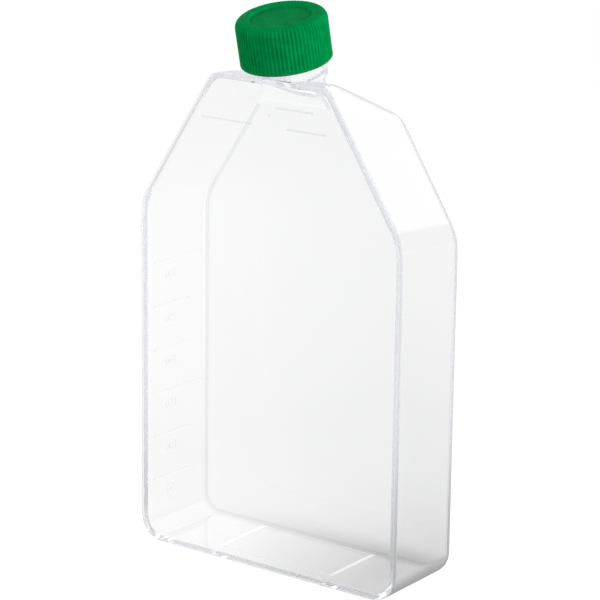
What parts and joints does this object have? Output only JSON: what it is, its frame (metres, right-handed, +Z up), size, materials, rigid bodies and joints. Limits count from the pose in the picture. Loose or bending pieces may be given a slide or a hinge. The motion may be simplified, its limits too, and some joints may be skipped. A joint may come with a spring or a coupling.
{
  "type": "cell culture flask",
  "caption": "Clear rectangular cell culture flask with a sloped shoulder, a canted threaded neck and a ribbed green screw cap, standing on its closed end.",
  "frame": {"origin": "middle of the base, the closed end that the flask stands on", "axes": "+Z up towards the neck and cap, +X to the right seen from the cover plate, +Y from the cover plate towards the growth surface at the back"},
  "size_m": [0.112, 0.0458, 0.2009],
  "materials": {
    "clear_polystyrene": "clear gloss moulded polystyrene",
    "green_polyethylene": "satin moulded polyethylene"
  },
  "bodies": {
    "flask": {"flask_tray": "clear_polystyrene", "cover_plate": "clear_polystyrene"},
    "cap": {"screw_cap": "green_polyethylene"}
  },
  "joints": [
    {"name": "cap_lift", "type": "slide", "parent": "flask", "child": "cap", "axis": [0, -0.2317, 0.9728], "range_m": [0, 0.04]}
  ]
}
